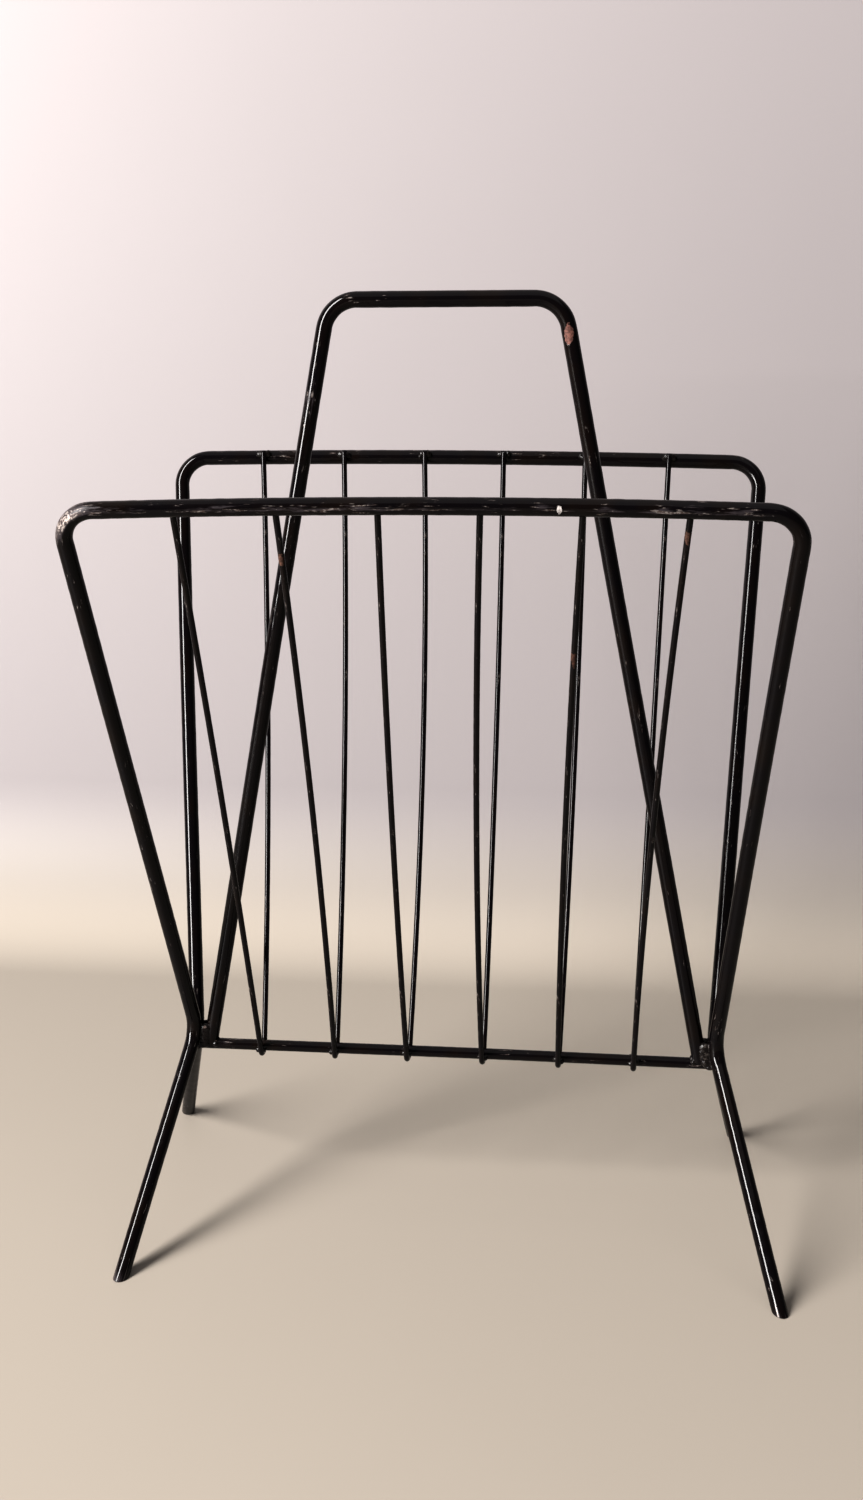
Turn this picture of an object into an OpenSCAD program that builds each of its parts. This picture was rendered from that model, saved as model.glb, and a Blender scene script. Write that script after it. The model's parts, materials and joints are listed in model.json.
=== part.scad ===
// Newspaper rack of welded steel rod: two bent frames set back to back, a carrying handle
// between them, a base rail, and six wires that fold under the rail to make the two pockets.
// X runs along the rails, Y from front to back, Z up. The origin is on the floor, at the centre.

/* [Rod sizes] */
// Diameter of the rod in the frames and the handle
frame_rod_d = 8; // [6:0.5:10]
// Diameter of the base rail
base_rail_d = 6; // [4:0.5:8]
// Diameter of the pocket wires
wire_d = 3; // [2:0.5:4]

/* [Frames] */
// Width of a top rail, between the centre lines of its two side rods
top_rail_w = 332; // [290:2:420]
// Height of the top rails
top_rail_z = 408; // [320:2:480]
// Distance between the front and rear top rails
mouth = 226; // [140:2:300]
// Width between the side rods where the two frames meet
waist_w = 288; // [240:2:340]
// Height at which the two frames meet
waist_z = 102; // [80:1:140]
// Distance between the left and right feet
foot_w = 342; // [260:2:420]
// Distance between the front and rear feet
foot_spread = 184; // [120:2:260]
// How far each frame's feet sit to its own right, as its legs were bent
foot_shift = 5; // [0:1:8]
// Bend radius of the top corners, to the rod's centre
corner_r = 15; // [12:1:30]
// Bend radius where the side rods turn into the legs, to the rod's centre
waist_r = 18; // [12:1:30]

/* [Handle] */
// Height of the handle's grip bar
handle_z = 496.5; // [440:0.5:580]
// Length of the grip bar, between the centre lines of the handle's sides
handle_grip_w = 116; // [90:2:160]
// Bend radius of the handle's corners, to the rod's centre
handle_r = 17; // [12:1:24]

/* [Wires] */
// Spacing of the wires on the top rails
wire_top_pitch = 46; // [26:1:52]
// Spacing of the wires under the base rail
wire_base_pitch = 41; // [24:1:44]
// How far all the folds under the base rail sit to one side of the middle
wire_base_shift = -2.5; // [-4:0.5:4]
// How far a wire's end stands above the point where it touches the top rail
wire_end = 2.5; // [1:0.5:4]

/* [Hidden] */
$fn = 48;

wire_count = 6;

enamel = [0.05, 0.05, 0.055];
weld_gray = [0.16, 0.15, 0.15];

frame_r = frame_rod_d / 2;
base_r = base_rail_d / 2;
wire_r = wire_d / 2;
// Rods that touch keep this hairline between their surfaces, so each stays its own solid
hairline = 0.05;
// Weld metal stops this far short of the rods it joins
weld_gap = 0.01;
// A bend is this much fatter in radius than the straights, which run a little way into it, so
// that their surfaces cross and are never tangent
bend_swell = 0.02;
bend_lap = 0.4;

// Each frame bends away from the other at the waist. Its corner point lies nearer the middle
// plane than the rod does, by what the bend radius cuts off.
side_lean = atan2(mouth / 2, top_rail_z - waist_z);
leg_lean = atan2(foot_spread / 2, waist_z);
waist_cut = waist_r * (1 / cos((side_lean + leg_lean) / 2) - 1);
waist_y = frame_r + bend_swell + hairline - waist_cut;

// The base rail is tucked up under the waist until it touches the front and rear legs
leg_run = foot_spread / 2 - waist_y;
leg_len = norm([leg_run, waist_z]);
base_rail_z = waist_z - ((frame_r + base_r + hairline) * leg_len - waist_y * waist_z) / leg_run;
base_rail_len = waist_w + 4;

// The handle's ends stand on the base rail, against the inner side of the waist
handle_foot_w = waist_w
    - 2 * sqrt(pow(frame_rod_d + bend_swell + hairline, 2) - pow(frame_r + hairline, 2));

// Each wire passes under the base rail and rests on the inner side of both top rails
wrap_r = base_r + wire_r + bend_swell + hairline;
hold_r = frame_r + wire_r + hairline;
pocket_h = top_rail_z - base_rail_z;
wire_lean = atan2(mouth / 2, pocket_h) - asin((wrap_r + hold_r) / norm([mouth / 2, pocket_h]));
wire_top_y = mouth / 2 - hold_r * cos(wire_lean) + wire_end * sin(wire_lean);
wire_top_z = top_rail_z + hold_r * sin(wire_lean) + wire_end * cos(wire_lean);
wire_fold_z = base_rail_z - wrap_r / sin(wire_lean);

// How far a leg is drawn on past the floor, as a share of its length, before it is cut level
below_floor = 0.08;

// Weld beads: their radius at the waist and at the wires, and how many degrees below the base
// rail's sides the wires' beads sit
bead_r = 3.2;
wire_bead_r = 1.7;
bead_drop = 30;
// How far in from the handle's surface the bead at its foot is centred
foot_bead_in = 1;

function unit(v) = v / norm(v);
function top_x(i) = (i - (wire_count + 1) / 2) * wire_top_pitch;
function base_x(i) = (i - (wire_count + 1) / 2) * wire_base_pitch + wire_base_shift;

// Places its children with their X, Y and Z axes along three given directions
module oriented(origin, x_dir, y_dir, z_dir) {
    multmatrix([
        [x_dir.x, y_dir.x, z_dir.x, origin.x],
        [x_dir.y, y_dir.y, z_dir.y, origin.y],
        [x_dir.z, y_dir.z, z_dir.z, origin.z],
        [0, 0, 0, 1]
    ]) children();
}

// A straight round rod from one point to another
module straight(a, b, r) {
    z_dir = unit(b - a);
    side = abs(z_dir.y) < 0.9 ? [0, 1, 0] : [1, 0, 0];
    x_dir = unit(cross(side, z_dir));
    oriented(a, x_dir, cross(z_dir, x_dir), z_dir) cylinder(h = norm(b - a), r = r);
}

// The round bend at corner point p, where a rod that runs along dir_in turns to dir_out
module bend(p, dir_in, dir_out, bend_r, r) {
    turn = acos(dir_in * dir_out);
    axis = unit(cross(dir_in, dir_out));
    start = p - dir_in * bend_r * tan(turn / 2);
    centre = start + cross(axis, dir_in) * bend_r;
    oriented(centre, unit(start - centre), dir_in, axis)
        rotate_extrude(angle = turn) translate([bend_r, 0]) circle(r = r + bend_swell);
}

// One continuous rod through a list of corner points, with a bend radius for each inner point
module bent_rod(points, bend_radii, r) {
    last = len(points) - 1;
    dirs = [for (i = [0:last - 1]) unit(points[i + 1] - points[i])];
    cuts = [for (i = [0:last]) i == 0 || i == last
        ? 0 : bend_radii[i - 1] * tan(acos(dirs[i - 1] * dirs[i]) / 2) - bend_lap];
    for (i = [0:last - 1])
        straight(points[i] + dirs[i] * cuts[i], points[i + 1] - dirs[i] * cuts[i + 1], r);
    for (i = [1:last - 1])
        bend(points[i], dirs[i - 1], dirs[i], bend_radii[i - 1], r);
}

// The corner points on one side of the front frame: side is -1 for the left, 1 for the right
function foot_point(side) = [foot_shift + side * foot_w / 2, -foot_spread / 2, 0];
function waist_point(side) = [side * waist_w / 2, -waist_y, waist_z];
function top_point(side) = [side * top_rail_w / 2, -mouth / 2, top_rail_z];
function leg_end(side) =
    foot_point(side) + (foot_point(side) - waist_point(side)) * below_floor;

// One frame as it stands at the front: foot, side, top rail, side, foot
module frame_rod() {
    corners = [
        leg_end(-1), waist_point(-1), top_point(-1),
        top_point(1), waist_point(1), leg_end(1)
    ];
    difference() {
        bent_rod(corners, [waist_r, corner_r, corner_r, waist_r], frame_r);
        translate([-foot_w, -foot_spread, -50]) cube([2 * foot_w, 2 * foot_spread, 50]);
    }
}

module front_frame() {
    color(enamel) frame_rod();
}

module rear_frame() {
    color(enamel) rotate([0, 0, 180]) frame_rod();
}

// The handle's rod, before its ends are notched to sit on the base rail
module handle_rod(grow = 0) {
    points = [
        [-handle_foot_w / 2, 0, base_rail_z],
        [-handle_grip_w / 2, 0, handle_z],
        [handle_grip_w / 2, 0, handle_z],
        [handle_foot_w / 2, 0, base_rail_z]
    ];
    bent_rod(points, [handle_r, handle_r], frame_r + grow);
}

module carry_handle() {
    color(enamel) difference() {
        handle_rod();
        rail_rod(hairline);
        translate([-waist_w, -frame_rod_d, base_rail_z - frame_rod_d])
            cube([2 * waist_w, 2 * frame_rod_d, frame_rod_d]);
    }
}

module rail_rod(grow = 0) {
    half = base_rail_len / 2;
    straight([-half - grow, 0, base_rail_z], [half + grow, 0, base_rail_z], base_r + grow);
}

module base_rail() {
    color(enamel) rail_rod();
}

// Pocket wire number i, counted from the left: down from the front rail, round under the
// base rail and up to the rear rail
module wire_rod(i, grow = 0) {
    points = [
        [top_x(i), -wire_top_y, wire_top_z],
        [base_x(i), 0, wire_fold_z],
        [top_x(i), wire_top_y, wire_top_z]
    ];
    bent_rod(points, [wrap_r], wire_r + grow);
}

module pocket_wire(i) {
    color(enamel) wire_rod(i);
}

// The front frame's rod round one waist, grown by the gap that weld metal keeps: side is -1
// for the left waist and 1 for the right
module waist_rod(side) {
    bent_rod([leg_end(side), waist_point(side), top_point(side)], [waist_r], frame_r + weld_gap);
}

// The cluster of weld beads at the left end of the base rail, where the two frames, the
// handle and the rail meet. The right end is the same, half a turn round.
module waist_weld() {
    waist_x = -waist_w / 2;
    inner_x = waist_x + frame_r;
    difference() {
        union() {
            for (step = [-1:1])
                translate([waist_x - bead_r, 0, waist_z + step * bead_r]) sphere(r = bead_r);
            for (y_side = [-1, 1], z_side = [-1, 1])
                translate([inner_x, y_side * (frame_r + bead_r / 2), waist_z + z_side * bead_r])
                    sphere(r = bead_r);
            translate([frame_r + foot_bead_in - handle_foot_w / 2, 0, base_rail_z + base_r])
                sphere(r = bead_r);
        }
        waist_rod(-1);
        rotate([0, 0, 180]) waist_rod(1);
        handle_rod(weld_gap);
        rail_rod(weld_gap);
    }
}

module left_waist_weld() {
    color(weld_gray) waist_weld();
}

module right_waist_weld() {
    color(weld_gray) rotate([0, 0, 180]) waist_weld();
}

// A small weld bead on one side of a wire, turned so that it faces away from the wire
module wire_bead(x_side) {
    rotate([0, 0, x_side > 0 ? 0 : 180]) sphere(r = wire_bead_r);
}

// The two small beads that hold one wire to the inner face of the front rail
module wire_end_beads(i) {
    reach = frame_r + wire_bead_r / 3;
    half = top_rail_w / 2;
    difference() {
        for (x_side = [-1, 1])
            translate([
                top_x(i) + x_side * (wire_r + wire_bead_r / 3),
                reach * cos(wire_lean) - mouth / 2,
                top_rail_z + reach * sin(wire_lean)
            ]) wire_bead(x_side);
        straight(top_point(-1), top_point(1), frame_r + weld_gap);
        straight([top_x(i), -wire_top_y, wire_top_z], [base_x(i), 0, wire_fold_z], wire_r + weld_gap);
    }
}

module front_rail_welds() {
    color(weld_gray) for (i = [1:wire_count]) wire_end_beads(i);
}

// The rear rail's wires are mirror images of the front rail's
module rear_rail_welds() {
    color(weld_gray) mirror([0, 1, 0]) for (i = [1:wire_count]) wire_end_beads(i);
}

// The beads where one wire crosses the base rail: one in front and one behind, on either side
module wire_fold_beads(i) {
    reach = base_r + wire_bead_r / 3;
    difference() {
        for (x_side = [-1, 1], y_side = [-1, 1])
            translate([
                base_x(i) + x_side * (wire_r + wire_bead_r / 3),
                y_side * reach * cos(bead_drop),
                base_rail_z - reach * sin(bead_drop)
            ]) wire_bead(x_side);
        rail_rod(weld_gap);
        wire_rod(i, weld_gap);
    }
}

module base_rail_welds() {
    color(weld_gray) for (i = [1:wire_count]) wire_fold_beads(i);
}

front_frame();
rear_frame();
carry_handle();
base_rail();
pocket_wire(1);  // wire_1
pocket_wire(2);  // wire_2
pocket_wire(3);  // wire_3
pocket_wire(4);  // wire_4
pocket_wire(5);  // wire_5
pocket_wire(6);  // wire_6
left_waist_weld();
right_waist_weld();
front_rail_welds();
rear_rail_welds();
base_rail_welds();
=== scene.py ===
import json
import math

import bpy
import numpy as np
from mathutils import Matrix, Vector, noise


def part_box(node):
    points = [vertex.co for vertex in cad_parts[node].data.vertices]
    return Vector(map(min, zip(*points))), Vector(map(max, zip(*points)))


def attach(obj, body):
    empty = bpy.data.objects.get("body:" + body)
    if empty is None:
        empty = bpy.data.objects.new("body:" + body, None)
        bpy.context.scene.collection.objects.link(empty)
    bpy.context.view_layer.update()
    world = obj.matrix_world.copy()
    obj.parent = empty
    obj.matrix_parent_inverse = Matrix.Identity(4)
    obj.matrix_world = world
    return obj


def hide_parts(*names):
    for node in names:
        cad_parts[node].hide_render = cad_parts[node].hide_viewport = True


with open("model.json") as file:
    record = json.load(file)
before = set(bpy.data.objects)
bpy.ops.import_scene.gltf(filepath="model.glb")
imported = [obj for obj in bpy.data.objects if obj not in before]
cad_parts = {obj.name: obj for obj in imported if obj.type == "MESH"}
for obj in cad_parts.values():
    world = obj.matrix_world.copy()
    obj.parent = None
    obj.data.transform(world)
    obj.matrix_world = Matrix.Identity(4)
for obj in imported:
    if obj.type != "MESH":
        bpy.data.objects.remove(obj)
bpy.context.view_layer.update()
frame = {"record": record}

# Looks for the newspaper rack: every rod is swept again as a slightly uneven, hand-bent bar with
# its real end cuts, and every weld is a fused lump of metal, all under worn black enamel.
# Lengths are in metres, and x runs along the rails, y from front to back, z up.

MM = 0.001

# ---------------------------------------------------------------- sizes, as the CAD has them

ROD_R = 4 * MM
rail_low, rail_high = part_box("base_rail")
front_low, front_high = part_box("front_frame")
handle_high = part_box("carry_handle")[1]
wire_boxes = [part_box(f"wire_{i}") for i in range(1, 7)]
feet = {m["name"]: Vector(m["pos_m"]) for m in frame["record"]["mounts"]}

RAIL_R = (rail_high.z - rail_low.z) / 2
RAIL_Z = (rail_high.z + rail_low.z) / 2
RAIL_PAST_WAIST = 2 * MM
WAIST_X = rail_high.x - RAIL_PAST_WAIST
# The frames' waists sit above the base rail and a little off the middle plane
WAIST_ABOVE_RAIL = 9.1 * MM
WAIST_Z = RAIL_Z + WAIST_ABOVE_RAIL
WAIST_Y = 1.0 * MM
TOP_X = 166 * MM
TOP_Y = -front_low.y - ROD_R
TOP_Z = front_high.z - ROD_R
CORNER_R = 15 * MM
WAIST_R = 18 * MM

GRIP_Z = handle_high.z - ROD_R
GRIP_HALF = 58 * MM
HANDLE_R = 17 * MM
# The handle's foot touches both frame rods at the waist
HANDLE_FOOT_X = WAIST_X - math.sqrt(3) * ROD_R

WIRE_COUNT = len(wire_boxes)
WIRE_R = 1.5 * MM
WIRE_TOP_Y = wire_boxes[0][1].y - WIRE_R
# A wire's cut end is square to the wire, so its edge stands above the end of its centreline
WIRE_EDGE_RISE = 0.5 * MM
WIRE_TOP_Z = wire_boxes[0][1].z - WIRE_EDGE_RISE
WELD_GAP = 0.05 * MM
WRAP_R = RAIL_R + WIRE_R + WELD_GAP
WIRE_LEAN = math.radians(18)
WIRE_FOLD_Z = RAIL_Z - WRAP_R / math.sin(WIRE_LEAN)
top_pitch = (wire_boxes[-1][1].x - wire_boxes[0][0].x - 2 * WIRE_R) / (WIRE_COUNT - 1)
fold_pitch = (wire_boxes[-1][0].x - wire_boxes[0][1].x + 2 * WIRE_R) / (WIRE_COUNT - 1)
fold_shift = (wire_boxes[-1][0].x + wire_boxes[0][1].x) / 2


def wire_top_x(i):
    return (i - (WIRE_COUNT - 1) / 2) * top_pitch


def wire_fold_x(i):
    return (i - (WIRE_COUNT - 1) / 2) * fold_pitch + fold_shift


# ---------------------------------------------------------------- how it was bent by hand

# Each rail is bowed upwards: where along x it is highest, how much, and the bow's radius
FRONT_BOW = (15 * MM, 0.6 * MM, 5.0)
REAR_BOW = (-40 * MM, 1.4 * MM, 7.5)
# Both waists sit a little to the right, which fades out over this height above them
WAIST_ASIDE = 0.8 * MM
WAIST_FADE = 140 * MM
HANDLE_FADE = 300 * MM
# The base rail drops a little to the right
RAIL_DROP = 0.7 * MM
# The grip leans a little to the left
GRIP_ASIDE = -0.7 * MM
# The wires' ends at the front rail are cut this much shorter than those at the rear rail
FRONT_WIRE_CUT = 1.4 * MM
# How far in mm each half wire is bent to the right of its straight line at its top and its
# middle, and how far its fold sits to the right
WIRE_BENDS = [
    {"front": (0.1, 0.9), "rear": (-1.7, 1.5), "fold": -0.5},
    {"front": (1.2, 3.0), "rear": (-0.7, 2.1), "fold": -0.4},
    {"front": (1.8, -0.7), "rear": (-0.4, 3.1), "fold": -0.8},
    {"front": (1.8, -1.7), "rear": (-1.3, 0.6), "fold": -0.1},
    {"front": (1.2, -1.0), "rear": (-1.1, 1.2), "fold": 0.5},
    {"front": (2.3, -1.4), "rear": (-0.3, 0.3), "fold": 0.5},
]


def smooth(t):
    """0 up to 0, 1 from 1 on, and a smooth step between them."""
    t = min(1.0, max(0.0, t))
    return t * t * (3 - 2 * t)


def rail_drop(x):
    """How far the base rail, and each wire's fold with it, is raised at x: 0 or less."""
    return -RAIL_DROP * smooth(x / WAIST_X)


def frame_bend(p, bow):
    """Where a point of a frame really lies: the rail's bow fades out down the sides."""
    middle, rise, radius = bow
    up = smooth((p.z - WAIST_Z) / (TOP_Z - WAIST_Z))
    lift = rise - (p.x - middle) ** 2 / (2 * radius)
    near_waist = math.exp(-((p.z - WAIST_Z) / WAIST_FADE) ** 2)
    above_feet = smooth(p.z / WAIST_Z)
    return p + Vector((WAIST_ASIDE * near_waist * above_feet, 0, lift * up))


# ---------------------------------------------------------------- rods as swept meshes


# How far apart the points of a path are, and how much closer together they are in a bend
ROD_STEP = 1.5 * MM
WIRE_STEP = 1.2 * MM
BEND_STEP = 0.6


def corner_path(corners, radii, step):
    """Points along straight runs joined by round bends, closer together in the bends."""
    corners = [Vector(c) for c in corners]
    stations = [corners[0]]
    for k in range(1, len(corners) - 1):
        into = (corners[k] - corners[k - 1]).normalized()
        out = (corners[k + 1] - corners[k]).normalized()
        turn = into.angle(out)
        reach = radii[k - 1] * math.tan(turn / 2)
        start = corners[k] - into * reach
        axis = into.cross(out).normalized()
        centre = start + axis.cross(into) * radii[k - 1]
        arc = max(6, round(radii[k - 1] * turn / (step * BEND_STEP)))
        line(stations, start, step)
        for j in range(1, arc + 1):
            stations.append(centre + Matrix.Rotation(turn * j / arc, 3, axis) @ (start - centre))
    line(stations, corners[-1], step)
    return stations


def line(stations, end, step):
    """Goes on from the last station straight to an end."""
    start = stations[-1]
    count = max(1, round((end - start).length / step))
    stations.extend(start.lerp(end, j / count) for j in range(1, count + 1))


def path_frames(path):
    """Points, tangents, a pair of side directions that turn as little as possible, the length
    run so far and the curvature, as arrays."""
    p = np.array([tuple(v) for v in path])
    tangent = np.gradient(p, axis=0)
    tangent /= np.linalg.norm(tangent, axis=1)[:, None]
    side = np.zeros_like(p)
    start = np.array((0.0, 1.0, 0.0))
    start -= tangent[0] * (start @ tangent[0])
    side[0] = start / np.linalg.norm(start)
    for k in range(1, len(p)):
        s = side[k - 1] - tangent[k] * (side[k - 1] @ tangent[k])
        side[k] = s / np.linalg.norm(s)
    other = np.cross(tangent, side)
    run = np.concatenate(([0.0], np.cumsum(np.linalg.norm(np.diff(p, axis=0), axis=1))))
    curve = np.gradient(tangent, axis=0) / np.gradient(run)[:, None]
    return p, tangent, side, other, run, curve


# A rod's cut end is rounded over by rings: each one's share of the rod's width, and how far out
# it stands. The cut is at END_DEPTH, and a unit of depth is END_SCALE times the rod's radius.
END_ROUND = [(1.0, 0.0), (0.985, 0.1), (0.93, 0.19), (0.82, 0.25), (0.6, 0.27), (0.3, 0.275)]
END_DEPTH = 0.275
END_SCALE = 0.6
# The last full ring of a rod with a level end keeps this far from the cut
CUT_CLEARANCE = 1.5 * MM
# A bend makes a rod wider across it and thinner along its radius
BEND_WIDER, BEND_THINNER = 0.10, 0.22


def sweep_mesh(name, path, radius, sides, ends, seed, uneven=0.008, wear=None):
    """A closed rod along a path. ends gives, for each end, the height of the level plane that
    cuts it, or None for a square cut. wear(point, outward) says how worn the enamel is."""
    p, tangent, side, other, run, curve = path_frames(path)
    rng = np.random.default_rng(seed)
    waves = [(rng.uniform(20, 160), rng.uniform(0, 6.28), rng.integers(0, 3)) for _ in range(6)]
    angle = np.arange(sides) * 2 * math.pi / sides
    rows, spaces, normals = [], [], []
    for k in range(len(p)):
        out = np.cos(angle)[:, None] * side[k] + np.sin(angle)[:, None] * other[k]
        bumps = sum(
            np.sin(f * 2 * math.pi * run[k] + a + n * angle) for f, a, n in waves
        ) * uneven / 3
        size = np.linalg.norm(curve[k])
        squeeze = np.zeros(sides)
        if size > 1:
            toward = out @ (curve[k] / size)
            squeeze = size * radius * (BEND_WIDER - BEND_THINNER * toward**2)
        r = radius * (1 + bumps + squeeze * 0.6)
        rows.append(p[k] + out * r[:, None])
        normals.append(out)
        spaces.append(np.stack([
            np.full(sides, run[k]), np.cos(angle) * radius, np.sin(angle) * radius
        ], axis=1))
    rows, spaces, normals = close_ends(rows, spaces, normals, p, tangent, radius, ends)
    return rod_object(name, rows, spaces, normals, sides, wear)


def close_ends(rows, spaces, normals, p, tangent, radius, ends):
    """Adds the rings that round a rod's edge over and close its two ends."""
    for last in (False, True):
        at = -1 if last else 0
        outward = tangent[at] if last else -tangent[at]
        ring, middle = rows[at], p[at]
        level = ends[at]
        if level is not None:
            middle = middle + outward * (level - middle[2]) / outward[2]
            for k in range(len(rows) - 1, -1, -1) if last else range(len(rows)):
                if (rows[k][:, 2] - level > CUT_CLEARANCE).all():
                    break
            reach = (level - rows[k][:, 2]) / outward[2]
            ring = rows[k] + outward * reach[:, None]
            rows = rows[: k + 1] if last else rows[k:]
            spaces = spaces[: k + 1] if last else spaces[k:]
            normals = normals[: k + 1] if last else normals[k:]
        added = []
        for scale, depth in END_ROUND:
            back = (END_DEPTH - depth) * radius * END_SCALE
            row = middle + (ring - middle) * scale - outward * back
            if level is not None:
                row[:, 2] = level + back
            added.append(row)
        new_rows = added if last else added[::-1]
        new_spaces = [spaces[at]] * len(added)
        new_normals = [normals[at]] * len(added)
        rows = rows + new_rows if last else new_rows + rows
        spaces = spaces + new_spaces if last else new_spaces + spaces
        normals = normals + new_normals if last else new_normals + normals
    return rows, spaces, normals


def rod_object(name, rows, spaces, normals, sides, wear):
    """A mesh object from rings of points, with the attributes that the enamel reads."""
    points = np.concatenate(rows)
    faces = []
    for k in range(len(rows) - 1):
        for j in range(sides):
            a, b = k * sides + j, k * sides + (j + 1) % sides
            faces.append((a, b, b + sides, a + sides))
    faces.append(tuple(range(sides))[::-1])
    faces.append(tuple((len(rows) - 1) * sides + j for j in range(sides)))
    mesh = bpy.data.meshes.new(name)
    mesh.from_pydata([tuple(v) for v in points], [], faces)
    mesh.update()
    flip_if_inside_out(mesh)
    store(mesh, "rod_space", "FLOAT_VECTOR", np.concatenate(spaces))
    outs = np.concatenate(normals)
    worn = [wear(Vector(v), Vector(n)) if wear else 0.0 for v, n in zip(points, outs)]
    store(mesh, "wear", "FLOAT", np.array(worn))
    mesh.shade_smooth()
    obj = bpy.data.objects.new(name, mesh)
    bpy.context.scene.collection.objects.link(obj)
    return obj


def flip_if_inside_out(mesh):
    """Turns the faces outward, going by the sign of the volume that they enclose."""
    volume = 0.0
    for f in mesh.polygons:
        a = mesh.vertices[f.vertices[0]].co
        for j in range(1, len(f.vertices) - 1):
            b, c = mesh.vertices[f.vertices[j]].co, mesh.vertices[f.vertices[j + 1]].co
            volume += a.dot(b.cross(c))
    if volume < 0:
        mesh.flip_normals()


def store(mesh, name, kind, values):
    """Puts one value on each vertex, where the materials can read it."""
    attribute = mesh.attributes.new(name, kind, "POINT")
    field = "vector" if kind == "FLOAT_VECTOR" else "value"
    attribute.data.foreach_set(field, values.astype(np.float32).ravel())


# ---------------------------------------------------------------- the paths of the rods


# A leg's path runs past the floor by this share of its length, and its end is cut level there
LEG_OVERRUN = 0.06
# A handle's leg runs this far below the middle of the base rail
HANDLE_OVERRUN = 3 * MM


def frame_path(turned):
    """The front frame's path, or the rear frame's, which is the same half a turn round."""
    sign = -1 if turned else 1
    first, last = ("rear_right", "rear_left") if turned else ("front_left", "front_right")
    corners = [
        feet[f"{first}_foot"],
        (-WAIST_X * sign, -WAIST_Y * sign, WAIST_Z),
        (-TOP_X * sign, -TOP_Y * sign, TOP_Z),
        (TOP_X * sign, -TOP_Y * sign, TOP_Z),
        (WAIST_X * sign, -WAIST_Y * sign, WAIST_Z),
        feet[f"{last}_foot"],
    ]
    for end, inner in ((0, 1), (-1, -2)):
        leg = Vector(corners[end]) - Vector(corners[inner])
        corners[end] = Vector(corners[end]) + leg * LEG_OVERRUN
    path = corner_path(corners, [WAIST_R, CORNER_R, CORNER_R, WAIST_R], ROD_STEP)
    return [frame_bend(p, REAR_BOW if turned else FRONT_BOW) for p in path]


def handle_path():
    """Up from the left foot, across the grip and down to the right foot."""
    corners = [
        (-HANDLE_FOOT_X, 0, RAIL_Z - HANDLE_OVERRUN),
        (-GRIP_HALF, 0, GRIP_Z),
        (GRIP_HALF, 0, GRIP_Z),
        (HANDLE_FOOT_X, 0, RAIL_Z - HANDLE_OVERRUN),
    ]
    path = corner_path(corners, [HANDLE_R, HANDLE_R], ROD_STEP)
    bent = []
    for p in path:
        at_foot = 1 - smooth((p.z - RAIL_Z) / HANDLE_FADE)
        at_grip = smooth((p.z - RAIL_Z) / (GRIP_Z - RAIL_Z))
        bent.append(p + Vector((WAIST_ASIDE * at_foot + GRIP_ASIDE * at_grip, 0, 0)))
    return bent


def rail_path():
    """Along the base rail from left to right."""
    half = WAIST_X + RAIL_PAST_WAIST
    path = [Vector((-half, 0, RAIL_Z))]
    line(path, Vector((half, 0, RAIL_Z)), ROD_STEP)
    return [p + Vector((WAIST_ASIDE, 0, rail_drop(p.x))) for p in path]


def wire_path(i):
    """Down from the front rail, round under the base rail and up to the rear rail. t runs from
    0 at a top to 1 at the fold, and each bend is a parabola in it."""
    bends = WIRE_BENDS[i]
    top, fold = wire_top_x(i), wire_fold_x(i)
    corners = [
        Vector((top, -WIRE_TOP_Y, WIRE_TOP_Z)),
        Vector((fold, 0, WIRE_FOLD_Z)),
        Vector((top, WIRE_TOP_Y, WIRE_TOP_Z)),
    ]
    corners[0] += (corners[1] - corners[0]).normalized() * FRONT_WIRE_CUT
    path = corner_path(corners, [WRAP_R], WIRE_STEP)
    moved = []
    for p in path:
        t = 1 - min(1.0, abs(p.y) / WIRE_TOP_Y)
        at_top, at_middle = bends["front" if p.y < 0 else "rear"]
        bow = REAR_BOW if p.y > 0 else FRONT_BOW
        aside = at_top * (1 - t) * (1 - 2 * t) + 4 * at_middle * t * (1 - t)
        aside += bends["fold"] * t * (2 * t - 1)
        lift = (bow[1] - (p.x - bow[0]) ** 2 / (2 * bow[2])) * smooth(1 - 2 * t)
        moved.append(p + Vector((aside * MM, 0, lift + rail_drop(fold) * t)))
    return moved


# ---------------------------------------------------------------- where the enamel is worn


# Each function takes a point on a rod and the way out of its skin there, and gives how worn the
# enamel is: 0.1 shows a few scratches, 0.3 a scuffed stretch and 0.5 mostly bare steel


def bell(value, middle, width):
    """1 at the middle, fading away to both sides."""
    return math.exp(-(((value - middle) / width) ** 2))


def facing(out, way):
    """1 where a skin faces a way, fading to 0 round the rod's flanks."""
    return smooth(out.dot(Vector(way).normalized()) * 1.6 - 0.2)


def low_wear(p, at_foot):
    """Wear at a frame's feet and, fainter, round its waists."""
    return at_foot * bell(p.z, 0, 6 * MM) + 0.08 * bell(p.z, WAIST_Z, 30 * MM)


def front_wear(p, out):
    """Scuffed along the front of the top rail, bare on its left corner, and worn at the feet."""
    top = smooth((p.z - TOP_Z + 20 * MM) / (12 * MM))
    haze = 0.22 * bell(out.z, 0, 0.5) * smooth(-out.y * 1.5)
    scuff_line = 0.2 * bell(out.z, -0.3, 0.14)
    patches = 0.07 * bell(p.x, -70 * MM, 50 * MM) + 0.05 * bell(p.x, 90 * MM, 50 * MM)
    corner = Vector((-TOP_X + 5 * MM, -TOP_Y, TOP_Z - 5 * MM))
    bare = 0.52 * bell((p - corner).length, 0, 15 * MM) * facing(out, (-0.6, -0.6, 0.5))
    return top * (haze + scuff_line + patches) + bare + low_wear(p, 0.34)


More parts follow.
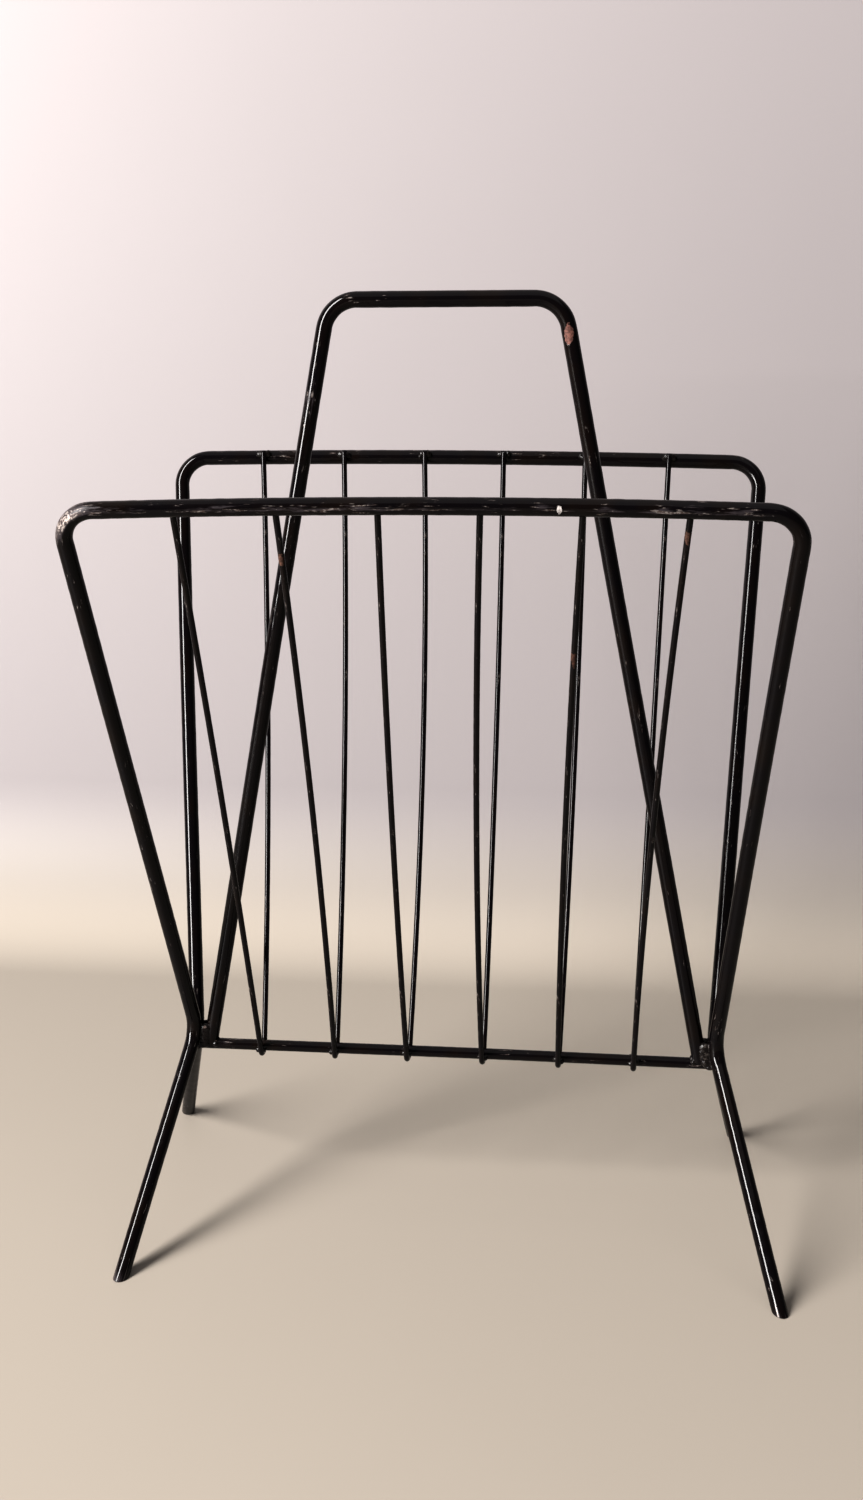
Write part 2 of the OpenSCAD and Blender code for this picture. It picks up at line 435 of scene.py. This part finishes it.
def rear_wear(p, out):
    """Rubbed along the upper side of the top rail, and worn at the feet."""
    top = smooth((p.z - TOP_Z + 22 * MM) / (12 * MM))
    return 0.14 * top * smooth(out.z) + low_wear(p, 0.30)


def handle_wear(p, out):
    """Scratched on the outside of its left side, just below the bend."""
    left = bell(p.z, GRIP_Z - 44 * MM, 26 * MM) * smooth(-p.x / (20 * MM))
    near_grip = smooth((p.z - GRIP_Z + 40 * MM) / (30 * MM))
    bends = bell(abs(p.x), GRIP_HALF - 6 * MM, 12 * MM) * near_grip
    return 0.32 * left * facing(out, (-0.6, -0.8, 0)) + 0.05 * bends


def rail_wear(p, out):
    """Worn a little all over, and more beside the waists."""
    return 0.08 + 0.08 * bell(abs(p.x), WAIST_X - 8 * MM, 12 * MM)


def wire_wear(p, out):
    """Worn a little all over, and more near the top rails and at the fold."""
    return 0.08 + 0.06 * smooth((p.z - 0.3) / 0.1) + 0.10 * bell(p.z, RAIL_Z, 12 * MM)


# ---------------------------------------------------------------- welds


# The stubs of rod in a lump are this much thinner than the rods, and so stay inside them
STUB_LESS = 0.16 * MM
WIRE_STUB_LESS = 0.1 * MM
# The size of the small bumps on weld metal
ROUGH_GRAIN = 1.6 * MM


def lump_mesh(name, balls, stubs, voxel, rough, seed, rounds=6):
    """Weld metal: balls and rod stubs fused into one closed skin, smoothed by that many rounds
    so that it runs into the rods, then roughened."""
    parts = []
    for centre, size in balls:
        bpy.ops.mesh.primitive_ico_sphere_add(subdivisions=3, radius=1)
        ball = bpy.context.object
        ball.data.transform(Matrix.Translation(centre) @ Matrix.Diagonal((*size, 1)))
        parts.append(ball)
    for n, (path, radius) in enumerate(stubs):
        parts.append(sweep_mesh(f"stub_{n}", path, radius, 16, (None, None), seed, 0))
    joined = join(parts)
    joined.name = name
    remesh = joined.modifiers.new("fuse", "REMESH")
    remesh.mode = "VOXEL"
    remesh.voxel_size = voxel
    soften = joined.modifiers.new("soften", "SMOOTH")
    soften.factor = 0.5
    soften.iterations = rounds
    graph = bpy.context.evaluated_depsgraph_get()
    mesh = bpy.data.meshes.new_from_object(joined.evaluated_get(graph))
    old = joined.data
    joined.modifiers.clear()
    joined.data = mesh
    bpy.data.meshes.remove(old)
    mesh.name = name
    count = len(mesh.vertices)
    places, outs = np.zeros(count * 3, np.float32), np.zeros(count * 3, np.float32)
    mesh.vertices.foreach_get("co", places)
    mesh.vertices.foreach_get("normal", outs)
    places, outs = places.reshape(-1, 3), outs.reshape(-1, 3)
    shift = Vector((seed * 0.37, seed * 0.11, 0))
    for k in range(count):
        q = Vector(places[k]) / ROUGH_GRAIN + shift
        places[k] += outs[k] * (noise.noise(q) + 0.5 * noise.noise(q * 2.1)) * rough
    mesh.vertices.foreach_set("co", places.ravel())
    mesh.update()
    mesh.shade_smooth()
    return joined


def join(parts):
    """One object with the shapes of them all, which takes their place."""
    points, faces = [], []
    for part in parts:
        base = len(points)
        points.extend(tuple(part.matrix_world @ v.co) for v in part.data.vertices)
        faces.extend(tuple(base + k for k in f.vertices) for f in part.data.polygons)
    mesh = bpy.data.meshes.new("lump")
    mesh.from_pydata(points, [], faces)
    mesh.update()
    obj = bpy.data.objects.new("lump", mesh)
    bpy.context.scene.collection.objects.link(obj)
    for part in parts:
        old = part.data
        bpy.data.objects.remove(part)
        bpy.data.meshes.remove(old)
    return obj


def near(path, centre, reach):
    """The stretch of a path that lies within reach of a point."""
    return [p for p in path if (p - centre).length < reach]


def waist_stubs(side, middle):
    """The stretches of both frames, the handle and the base rail that meet at a waist."""
    above_rail = [p for p in handle_path() if p.z > RAIL_Z]
    runs = (
        (frame_path(False), 15 * MM, ROD_R), (frame_path(True), 15 * MM, ROD_R),
        (above_rail, 22 * MM, ROD_R), (rail_path(), 18 * MM, RAIL_R),
    )
    return [
        (near([p for p in path if p.x * side > 0], middle, reach), radius - STUB_LESS)
        for path, reach, radius in runs
    ]


def waist_weld(side):
    """The fused joint of both frames, the handle's foot and the base rail's end: a seam on the
    outside, a web between frame and handle at front and back, and fillets on the rail."""
    x = side * WAIST_X + WAIST_ASIDE
    stubs = waist_stubs(side, Vector((x, 0, WAIST_Z - 3 * MM)))
    half = 0 if side < 0 else 1
    rng = np.random.default_rng(40 + half)
    balls = []
    for k in range(5):
        z = WAIST_Z + (k - 2.4) * 2.6 * MM
        size = rng.uniform(2.0, 2.7) * MM
        balls.append((Vector((x + side * 1.9 * MM, 0, z)), (size, size * 1.3, size)))
    inner = x - side * ROD_R
    for y_side in (-1, 1):
        for k in range(5):
            z = WAIST_Z + (1.0 - k * 2.1) * MM
            size = rng.uniform(2.2, 2.5) * MM
            web = inner - side * (1.3 - 0.35 * k) * MM
            forward = y_side * (2.9 + 0.3 * k) * MM
            balls.append((Vector((web, forward, z)), (size * 1.55, size * 0.8, size * 1.2)))
        size = rng.uniform(1.5, 1.8) * MM
        under = Vector((side * (WAIST_X - 1.5 * MM), y_side * 4.8 * MM, RAIL_Z - 0.6 * MM))
        balls.append((under, (size * 1.5, size, size)))
    foot = side * (HANDLE_FOOT_X - ROD_R) + WAIST_ASIDE
    for y_side in (-1, 0, 1):
        size = rng.uniform(1.5, 2.0) * MM
        balls.append((
            Vector((foot, y_side * 2.2 * MM, RAIL_Z + (2.4 - abs(y_side) * 1.6) * MM)),
            (size * 1.2, size, size),
        ))
    name = "left_waist_weld_metal" if side < 0 else "right_waist_weld_metal"
    return lump_mesh(name, balls, stubs, 0.35 * MM, 0.22 * MM, 7 + half)


def rail_end_welds(front):
    """The weld metal on either side of every wire's top end, on a rail's inner face."""
    sign = -1 if front else 1
    level = [p for p in frame_path(not front) if p.z > TOP_Z - 9 * MM]
    rail = [p for p in level if abs(p.x) < TOP_X - 30 * MM]
    rng = np.random.default_rng(60 + sign)
    # How far below or above the rail's middle the metal lies, in mm
    low, high = (-1.8, 0.2) if front else (0.6, 2.6)
    balls, stubs = [], []
    for i in range(WIRE_COUNT):
        path = wire_path(i)
        top = path[0] if front else path[-1]
        stubs.append((near(path, top, 7 * MM), WIRE_R - WIRE_STUB_LESS))
        stubs.append((near(rail, top, 9 * MM), ROD_R - STUB_LESS))
        rail_z = min(rail, key=lambda p: abs(p.x - top.x)).z
        for x_side in (-1, 1):
            for k in range(2):
                size = rng.uniform(1.2, 1.8) * MM
                place = Vector((
                    top.x + x_side * (WIRE_R + (0.2 + 0.9 * k) * MM),
                    sign * (TOP_Y - (4.3 - 0.5 * k) * MM),
                    rail_z + rng.uniform(low, high) * MM,
                ))
                balls.append((place, (size, size * 0.9, size * 1.15)))
    name = "front_rail_weld_metal" if front else "rear_rail_weld_metal"
    return lump_mesh(name, balls, stubs, 0.3 * MM, 0.16 * MM, 21 + sign, 4)


def base_rail_welds():
    """The weld metal where each folded wire crosses the base rail."""
    rng = np.random.default_rng(80)
    rail = rail_path()
    balls, stubs = [], []
    for i in range(WIRE_COUNT):
        path = wire_path(i)
        tip = min(path, key=lambda p: p.z)
        centre = Vector((tip.x, 0, tip.z + WRAP_R))
        stubs.append((near(path, centre, 9 * MM), WIRE_R - WIRE_STUB_LESS))
        stubs.append((near(rail, centre, 7 * MM), RAIL_R - STUB_LESS))
        for x_side in (-1, 1):
            for y_side in (-1, 1):
                size = rng.uniform(1.0, 1.5) * MM
                balls.append((
                    Vector((
                        tip.x + x_side * (WIRE_R + 0.3 * MM),
                        y_side * 2.9 * MM,
                        centre.z + rng.uniform(-1.6, 0.8) * MM,
                    )),
                    (size, size, size * 1.2),
                ))
    return lump_mesh("base_rail_weld_metal", balls, stubs, 0.3 * MM, 0.15 * MM, 33, 4)


# ---------------------------------------------------------------- materials


class Nodes:
    """A short way to add and link shader nodes."""

    def __init__(self, name):
        self.material = bpy.data.materials.new(name)
        self.material.use_nodes = True
        self.tree = self.material.node_tree
        self.tree.nodes.clear()

    def add(self, kind, inputs=None, **settings):
        node = self.tree.nodes.new(kind)
        for key, value in settings.items():
            setattr(node, key, value)
        for key, value in (inputs or {}).items():
            self.put(node.inputs[key], value)
        return node

    def put(self, socket, value):
        if isinstance(value, bpy.types.NodeSocket):
            self.tree.links.new(value, socket)
        else:
            socket.default_value = value

    def math(self, operation, a, b):
        return self.add("ShaderNodeMath", {0: a, 1: b}, operation=operation).outputs[0]

    def ramp(self, value, low, high):
        """0 below low, 1 above high, and a smooth step between them."""
        node = self.add("ShaderNodeMapRange", {0: value, 1: low, 2: high, 3: 0.0, 4: 1.0})
        node.interpolation_type = "SMOOTHSTEP"
        return node.outputs[0]

    def blend(self, factor, a, b):
        node = self.add("ShaderNodeMix", data_type="RGBA")
        self.put(node.inputs[0], factor)
        self.put(node.inputs[6], a)
        self.put(node.inputs[7], b)
        return node.outputs[2]

    def level(self, factor, a, b):
        node = self.add("ShaderNodeMix", data_type="FLOAT")
        self.put(node.inputs[0], factor)
        self.put(node.inputs[2], a)
        self.put(node.inputs[3], b)
        return node.outputs[0]

    def noise(self, vector, scale, detail=3.0, roughness=0.55, distortion=0.0):
        node = self.add("ShaderNodeTexNoise", {
            "Vector": vector, "Scale": scale, "Detail": detail, "Roughness": roughness,
            "Distortion": distortion,
        })
        return node.outputs[0]

    def stretched(self, vector, scale):
        node = self.add("ShaderNodeMapping", {"Vector": vector, "Scale": scale})
        return node.outputs[0]

    def attribute(self, name, output):
        return self.add("ShaderNodeAttribute", attribute_name=name).outputs[output]


ENAMEL = (0.0036, 0.0024, 0.0032, 1)
ENAMEL_WARM = (0.0070, 0.0036, 0.0024, 1)
SCUFF = (0.042, 0.034, 0.037, 1)
BARE_STEEL = (0.42, 0.37, 0.34, 1)
STAINED_STEEL = (0.11, 0.078, 0.066, 1)
RUST = (0.16, 0.085, 0.060, 1)
DARK_RUST = (0.10, 0.048, 0.032, 1)
PRIMER = (0.21, 0.10, 0.08, 1)
WHITE_CHIP = (0.60, 0.55, 0.52, 1)
WELD_BLACK = (0.0075, 0.0055, 0.005, 1)
WELD_GREY = (0.085, 0.072, 0.064, 1)
FLOOR_COLOUR = (0.50, 0.45, 0.39, 1)
WALL_COLOUR = (0.375, 0.345, 0.345, 1)
# How far the floor goes each way, where the wall stands, its height, and the bend's radius
STAGE_REACH = 3.0
WALL_Y = 0.42
WALL_TOP = 2.4
COVE_R = 0.12
# How much light the enamel's face reflects, on Blender's scale, where 0.5 is plain plastic
GLOSS = 0.32
# How deep the bump of full strength is in enamel and in weld metal
ENAMEL_RELIEF = 0.16 * MM
WELD_RELIEF = 0.3 * MM


def chipped(n, place, chips, speck, look):
    """Lays patches over a surface where the paint is gone. A chip is its centre, half sizes,
    colour and raggedness, and look holds colour, metal, rough and depth."""
    colour, metal, rough, depth = look
    for centre, size, paint, ragged in chips:
        offset = n.add("ShaderNodeVectorMath", {0: place, 1: tuple(centre)}, operation="SUBTRACT")
        scaled = n.add(
            "ShaderNodeVectorMath", {0: offset.outputs[0], 1: tuple(1 / s for s in size)},
            operation="MULTIPLY",
        )
        far = n.add("ShaderNodeVectorMath", {0: scaled.outputs[0]}, operation="LENGTH")
        edge = n.noise(place, 700.0, 3.0)
        edge = n.math("MULTIPLY", n.math("SUBTRACT", edge, 0.5), ragged)
        reach = n.math("ADD", far.outputs["Value"], edge)
        shape = n.math("SUBTRACT", 1.0, n.ramp(reach, 0.86, 1.0))
        dark = tuple(c * 0.45 for c in paint[:3]) + (1,)
        colour = n.blend(shape, colour, n.blend(n.ramp(speck, 0.38, 0.6), paint, dark))
        metal = n.level(shape, metal, 0.1)
        rough = n.level(shape, rough, 0.62)
        depth = n.level(shape, depth, -1.6)
    return colour, metal, rough, depth


def surface(n, look, height, strength, distance):
    """Ends a material: the look's colour, metal and rough under a bump."""
    colour, metal, rough, _ = look
    bump = n.add("ShaderNodeBump", {"Strength": strength, "Distance": distance, "Height": height})
    shader = n.add("ShaderNodeBsdfPrincipled", {
        "Base Color": colour, "Roughness": rough, "Metallic": metal,
        "Specular IOR Level": GLOSS, "Normal": bump.outputs[0],
    })
    n.add("ShaderNodeOutputMaterial", {"Surface": shader.outputs[0]})
    return n.material


def enamel(name, chips=()):
    """Worn black enamel over steel, streaked and scratched along the rod."""
    n = Nodes(name)
    along = n.attribute("rod_space", "Vector")
    worn = n.attribute("wear", "Fac")
    place = n.add("ShaderNodeTexCoord").outputs["Object"]

    # Fields of noise, from the largest grain to the smallest
    cloud = n.noise(along, 38.0, 3.0)
    patch = n.noise(n.stretched(along, (0.6, 1.0, 1.0)), 120.0, 3.0)
    streak = n.noise(n.stretched(along, (0.16, 1.4, 1.4)), 560.0, 5.0, 0.62)
    speck = n.noise(along, 900.0, 4.0, 0.6)

    # Thin scratches along the rod, in patches
    hair = n.noise(n.stretched(along, (0.13, 1.0, 1.0)), 1150.0, 2.0, 0.5, 0.25)
    hair = n.ramp(n.math("ADD", hair, n.math("MULTIPLY", worn, 0.20)), 0.64, 0.71)
    where = n.math("ADD", patch, n.math("MULTIPLY", worn, 0.5))
    scratches = n.math("MULTIPLY", hair, n.ramp(where, 0.54, 0.66))

    # Dull scuffs where it is somewhat worn, and bare steel where it is much worn
    field = n.math("ADD", n.math("MULTIPLY", streak, 0.55), n.math("MULTIPLY", patch, 0.45))
    scuff = n.ramp(n.math("ADD", field, n.math("MULTIPLY", worn, 0.62)), 0.66, 0.80)
    grain = n.math("ADD", n.math("MULTIPLY", streak, 0.45), n.math("MULTIPLY", speck, 0.55))
    bare = n.ramp(n.math("ADD", grain, n.math("MULTIPLY", worn, 0.50)), 0.80, 0.87)
    bare = n.math("MAXIMUM", bare, n.math("MULTIPLY", scratches, 0.55))

    # The look: colour, metal, roughness and depth
    black = n.blend(n.ramp(cloud, 0.40, 0.72), ENAMEL, ENAMEL_WARM)
    steel = n.blend(n.ramp(speck, 0.42, 0.60), STAINED_STEEL, BARE_STEEL)
    colour = n.blend(bare, n.blend(scuff, black, SCUFF), steel)
    metal = n.math("MULTIPLY", bare, 0.35)
    rough = n.level(bare, n.level(scuff, n.level(patch, 0.07, 0.17), 0.42), 0.46)
    depth = n.math("MULTIPLY", bare, -0.6)
    look = chipped(n, place, chips, speck, (colour, metal, rough, depth))

    # The relief: orange peel, the brush's waves, sunken chips and scuffs, and scratches
    peel = n.noise(n.stretched(along, (0.45, 1.0, 1.0)), 620.0, 3.0)
    wobble = n.noise(n.stretched(along, (0.6, 1.0, 1.0)), 210.0, 2.0)
    height = n.math("ADD", n.math("MULTIPLY", peel, 0.25), n.math("MULTIPLY", wobble, 0.9))
    height = n.math("ADD", height, look[3])
    height = n.math("ADD", height, n.math("MULTIPLY", scuff, -0.15))
    height = n.math("ADD", height, n.math("MULTIPLY", streak, n.math("MULTIPLY", worn, 0.8)))
    return surface(n, look, height, 0.28, ENAMEL_RELIEF)


def weld_enamel(name, worn, relief, chips=()):
    """Black enamel over rough weld metal, worn to grey on its high spots. worn moves how much
    of it is grey, and relief is the strength of its bump."""
    n = Nodes(name)
    place = n.add("ShaderNodeTexCoord").outputs["Object"]
    lumps = n.noise(place, 520.0, 5.0, 0.65)
    fine = n.noise(place, 1500.0, 4.0, 0.6)
    spots = n.math("ADD", n.math("MULTIPLY", lumps, 0.6), n.math("MULTIPLY", fine, 0.4))
    high = n.ramp(n.math("ADD", spots, worn), 0.55, 0.68)
    colour = n.blend(high, WELD_BLACK, WELD_GREY)
    metal, depth = n.math("MULTIPLY", high, 0.35), n.math("MULTIPLY", high, 0.1)
    look = chipped(n, place, chips, fine, (colour, metal, n.level(high, 0.20, 0.45), depth))
    height = n.math("ADD", n.math("ADD", lumps, n.math("MULTIPLY", fine, 0.35)), look[3])
    return surface(n, look, height, relief, WELD_RELIEF)


def backdrop_paint(name):
    """A matt surface, faintly uneven, that changes from floor to wall colour with height. It is
    clear from behind, so that the rack can be looked at from the back."""
    n = Nodes(name)
    place = n.add("ShaderNodeTexCoord").outputs["Object"]
    height = n.add("ShaderNodeSeparateXYZ", {0: place}).outputs[2]
    colour = n.blend(n.ramp(height, 0.0, COVE_R), FLOOR_COLOUR, WALL_COLOUR)
    shade = n.level(n.noise(place, 3.0, 4.0), 1.0, 0.96)
    # The cove faces the window most squarely, so it is painted darker, and the whole backdrop
    # looks darker in the rods than to the camera
    cove = n.math("MULTIPLY", n.ramp(height, 0.0, 0.05), n.ramp(height, 0.13, 0.05))
    shade = n.math("MULTIPLY", shade, n.level(cove, 1.0, 0.80))
    in_rods = n.add("ShaderNodeLightPath").outputs["Is Glossy Ray"]
    shade = n.math("MULTIPLY", shade, n.level(in_rods, 1.0, 0.6))
    tint = n.add("ShaderNodeVectorMath", {0: colour, 1: shade}, operation="MULTIPLY").outputs[0]
    face = n.add("ShaderNodeBsdfPrincipled", {"Base Color": tint, "Roughness": 0.55})
    clear = n.add("ShaderNodeBsdfTransparent")
    behind = n.add("ShaderNodeNewGeometry").outputs["Backfacing"]
    seen = n.add("ShaderNodeMixShader", {0: behind, 1: face.outputs[0], 2: clear.outputs[0]})
    n.add("ShaderNodeOutputMaterial", {"Surface": seen.outputs[0]})
    return n.material


# ---------------------------------------------------------------- the pieces


def finish_piece(obj, node, material):
    """Paints a piece and puts it in the place of a CAD node."""
    obj.data.materials.clear()
    obj.data.materials.append(material)
    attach(obj, "root")
    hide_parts(node)


def on_wire(i, share):
    """A point on the face of a wire's front half, a share of the way down from its top."""
    half = [p for p in wire_path(i) if p.y < 0]
    return half[int(share * (len(half) - 1))] + Vector((0, -WIRE_R, 0))


def build_frames():
    """The front rail has one white chip on its face, right of the middle."""
    white = (
        Vector((59.6 * MM, -TOP_Y - 3.6 * MM, TOP_Z - 0.4 * MM)),
        (1.2 * MM, 3 * MM, 1.9 * MM), WHITE_CHIP, 1.5,
    )
    for name, node, turned, chips, wear in (
        ("front_frame_rod", "front_frame", False, [white], front_wear),
        ("rear_frame_rod", "rear_frame", True, [], rear_wear),
    ):
        rod = sweep_mesh(name, frame_path(turned), ROD_R, 40, (0.0, 0.0), 1 + turned, wear=wear)
        finish_piece(rod, node, enamel(f"enamel_{node}", chips))


def build_handle():
    """An oval of old primer shows where the paint is gone below its right bend."""
    oval = (
        Vector((GRIP_HALF + GRIP_ASIDE + 2.8 * MM, -3.4 * MM, GRIP_Z - 17 * MM)),
        (2.4 * MM, 2.6 * MM, 5.2 * MM), PRIMER, 0.8,
    )
    ends = (RAIL_Z, RAIL_Z)
    handle = sweep_mesh("carry_handle_rod", handle_path(), ROD_R, 40, ends, 3, wear=handle_wear)
    finish_piece(handle, "carry_handle", enamel("enamel_handle", [oval]))


def build_base_rail():
    """The base rail has square ends and no chips."""
    rail = sweep_mesh("base_rail_rod", rail_path(), RAIL_R, 32, (None, None), 4, wear=rail_wear)
    finish_piece(rail, "base_rail", enamel("enamel_base_rail"))


def build_wires():
    """Three wires have a rusty chip: how far down it is, its half length in mm, its colour."""
    spots = {1: (0.09, 3.2, RUST), 4: (0.236, 7.0, DARK_RUST), 5: (0.05, 3.6, RUST)}
    for i in range(WIRE_COUNT):
        chips = []
        if i in spots:
            share, size, paint = spots[i]
            chips = [(on_wire(i, share), (1.6 * MM, 1.6 * MM, size * MM), paint, 1.4)]
        wire = sweep_mesh(
            f"pocket_wire_{i + 1}", wire_path(i), WIRE_R, 24, (None, None), 10 + i, 0.012, wire_wear
        )
        finish_piece(wire, f"wire_{i + 1}", enamel(f"enamel_wire_{i + 1}", chips))


def build_welds():
    """The left joint has two small pale chips, partly worn paint and partly a painted highlight
    where its welds catch the light, and the right one is worn greyer.
    """
    crotch = Vector((-WAIST_X + 6.5 * MM, -5.0 * MM, WAIST_Z + 2.6 * MM))
    corner = Vector((-HANDLE_FOOT_X + 5 * MM, -3.2 * MM, RAIL_Z + 3.2 * MM))
    # Pale stained-steel patches at the crotch and at the handle's corner on the rail: partly worn
    # paint, partly a painted highlight for the glints on the weld there
    pale_glint_chips = [
        (place, (1.1 * MM, 2.2 * MM, 0.8 * MM), STAINED_STEEL, 1.2) for place in (crotch, corner)
    ]
    dark = weld_enamel("enamel_on_weld", 0.0, 0.4)
    left = weld_enamel("enamel_on_left_weld", -0.03, 0.25, pale_glint_chips)
    right = weld_enamel("enamel_on_right_weld", 0.04, 0.5)
    finish_piece(waist_weld(-1), "left_waist_weld", left)
    finish_piece(waist_weld(1), "right_waist_weld", right)
    finish_piece(rail_end_welds(True), "front_rail_welds", dark)
    finish_piece(rail_end_welds(False), "rear_rail_welds", dark)
    finish_piece(base_rail_welds(), "base_rail_welds", dark)


# ---------------------------------------------------------------- stage, light and camera


def build_stage():
    """A pale floor that curves up into a pale wall behind the rack. The floor also goes on
    behind the wall, for views from the back."""
    bend_y = WALL_Y - COVE_R
    profile = [(-STAGE_REACH, 0.0), (bend_y, 0.0)]
    for k in range(1, 13):
        a = math.pi / 2 * k / 12
        profile.append((bend_y + COVE_R * math.sin(a), COVE_R - COVE_R * math.cos(a)))
    profile.append((WALL_Y, WALL_TOP))
    sides = (-STAGE_REACH, STAGE_REACH)
    points = [(x, y, z) for y, z in profile for x in sides]
    faces = [(2 * k, 2 * k + 1, 2 * k + 3, 2 * k + 2) for k in range(len(profile) - 1)]
    count = len(points)
    points += [(x, y, 0.0) for y in (bend_y, STAGE_REACH) for x in sides]
    faces.append((count, count + 1, count + 3, count + 2))
    mesh = bpy.data.meshes.new("backdrop")
    mesh.from_pydata(points, [], faces)
    mesh.shade_smooth()
    mesh.materials.append(backdrop_paint("pale_backdrop"))
    obj = bpy.data.objects.new("backdrop", mesh)
    obj.visible_shadow = obj.visible_diffuse = False
    bpy.context.scene.collection.objects.link(obj)


def area_light(name, place, target, size, power, colour):
    """A soft rectangular light that the camera doesn't see. Its power is in watts."""
    light = bpy.data.lights.new(name, "AREA")
    light.shape = "RECTANGLE"
    light.size, light.size_y = size
    light.energy = power
    light.color = colour
    obj = bpy.data.objects.new(name, light)
    obj.location = place
    toward = Vector(target) - Vector(place)
    obj.rotation_euler = toward.to_track_quat("-Z", "Y").to_euler()
    obj.visible_camera = False
    bpy.context.scene.collection.objects.link(obj)


def build_lights():
    """A tall soft window at the left front, a faint ceiling, and a dim room that the camera
    alone sees as pale."""
    area_light("window", (-2.0, -1.84, 1.9), (0, 0, 1.9), (0.7, 3.4), 320, (1.0, 0.98, 0.97))
    area_light("ceiling", (0.2, -0.4, 2.2), (0, 0.1, 0.2), (2.2, 2.2), 9, (1.0, 0.97, 0.95))
    world = bpy.data.worlds.new("studio")
    world.use_nodes = True
    tree = world.node_tree
    room, seen = tree.nodes["Background"], tree.nodes.new("ShaderNodeBackground")
    room.inputs[0].default_value, room.inputs[1].default_value = (0.80, 0.78, 0.80, 1), 0.12
    seen.inputs[0].default_value, seen.inputs[1].default_value = WALL_COLOUR, 1.5
    mix, path = tree.nodes.new("ShaderNodeMixShader"), tree.nodes.new("ShaderNodeLightPath")
    tree.links.new(path.outputs["Is Camera Ray"], mix.inputs[0])
    tree.links.new(room.outputs[0], mix.inputs[1])
    tree.links.new(seen.outputs[0], mix.inputs[2])
    tree.links.new(mix.outputs[0], tree.nodes["World Output"].inputs[0])
    bpy.context.scene.world = world


def build_camera():
    """A standing view of the rack from the front, a little to its right, looking down."""
    place = (0.0790, -0.8309, 0.4948)
    yaw, pitch, roll = 0.1057, -0.2666, 0.0073
    forward = Vector((
        -math.cos(pitch) * math.sin(yaw), math.cos(pitch) * math.cos(yaw), math.sin(pitch)
    ))
    level = Vector((math.cos(yaw), math.sin(yaw), 0))
    upright = level.cross(forward)
    right = level * math.cos(roll) - upright * math.sin(roll)
    up = level * math.sin(roll) + upright * math.cos(roll)
    camera = bpy.data.cameras.new("camera")
    camera.sensor_width = 36
    camera.lens = 39.32
    obj = bpy.data.objects.new("camera", camera)
    turn = Matrix((right, up, -forward)).transposed().to_4x4()
    obj.matrix_world = Matrix.Translation(place) @ turn
    bpy.context.scene.collection.objects.link(obj)
    bpy.context.scene.camera = obj


build_frames()
build_handle()
build_base_rail()
build_wires()
build_welds()
build_stage()
build_lights()
build_camera()
# A contrasty picture, in which the enamel stays black
bpy.context.scene.view_settings.view_transform = "Standard"
bpy.context.scene.view_settings.gamma = 0.76
